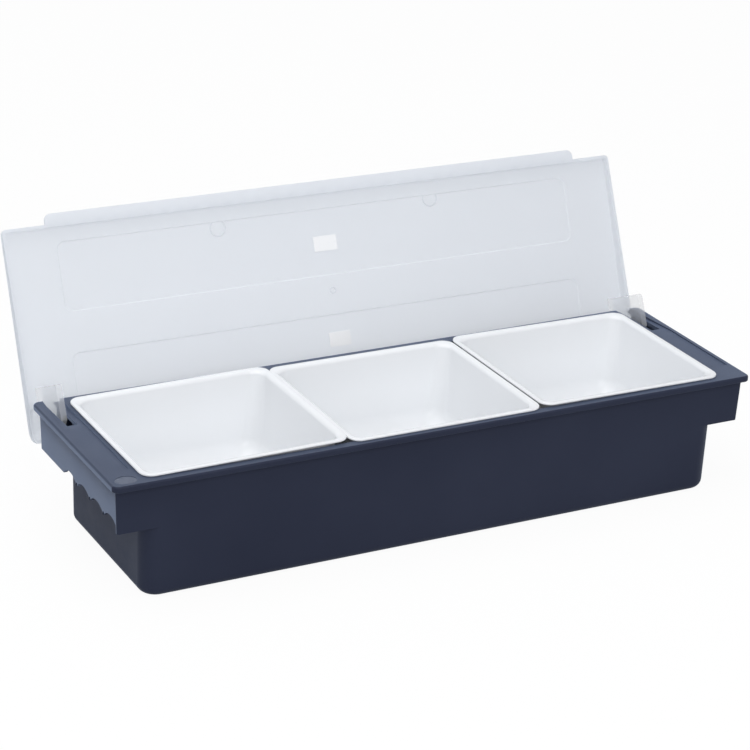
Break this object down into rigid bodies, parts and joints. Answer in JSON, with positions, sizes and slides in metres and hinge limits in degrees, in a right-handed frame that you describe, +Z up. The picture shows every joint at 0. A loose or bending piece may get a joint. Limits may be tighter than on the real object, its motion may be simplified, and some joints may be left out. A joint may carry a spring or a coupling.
{
  "type": "condiment caddy",
  "caption": "Bar-top condiment caddy: a long handled ice tray with lift-out square inserts hung in its rim and a hinged clear lid over the row.",
  "frame": {"origin": "centre of the tray's flat underside", "axes": "+X along the tray's length to the right, +Y to the rear where the lid is hinged, +Z up; the lid stands open on its stop"},
  "size_m": [0.5, 0.213, 0.202],
  "materials": {
    "tray_plastic": "satin moulded, dark navy",
    "insert_plastic": "glossy white",
    "lid_plastic": "frosted translucent, bluish white",
    "pin_metal": "bright drawn steel"
  },
  "bodies": {
    "tray": {"tray": "tray_plastic"},
    "insert_left": {"insert_left": "insert_plastic"},
    "insert_middle": {"insert_middle": "insert_plastic"},
    "insert_right": {"insert_right": "insert_plastic"},
    "hinge_pins": {"hinge_pin_left": "pin_metal", "hinge_pin_right": "pin_metal"},
    "lid": {"lid": "lid_plastic"}
  },
  "joints": [
    {"name": "lid_unclip", "type": "slide", "parent": "tray", "child": "hinge_pins", "axis": [0, 1, 0], "range_m": [0, 0.05]},
    {"name": "lid_hinge", "type": "hinge", "parent": "hinge_pins", "child": "lid", "pos_m": [0, 0.0633, 0.0761], "axis": [-1, 0, 0], "range_deg": [-114.8, 0]},
    {"name": "insert_left_lift", "type": "slide", "parent": "tray", "child": "insert_left", "axis": [0, 0, 1], "range_m": [0, 0.07]},
    {"name": "insert_middle_lift", "type": "slide", "parent": "tray", "child": "insert_middle", "axis": [0, 0, 1], "range_m": [0, 0.07]},
    {"name": "insert_right_lift", "type": "slide", "parent": "tray", "child": "insert_right", "axis": [0, 0, 1], "range_m": [0, 0.07]}
  ]
}
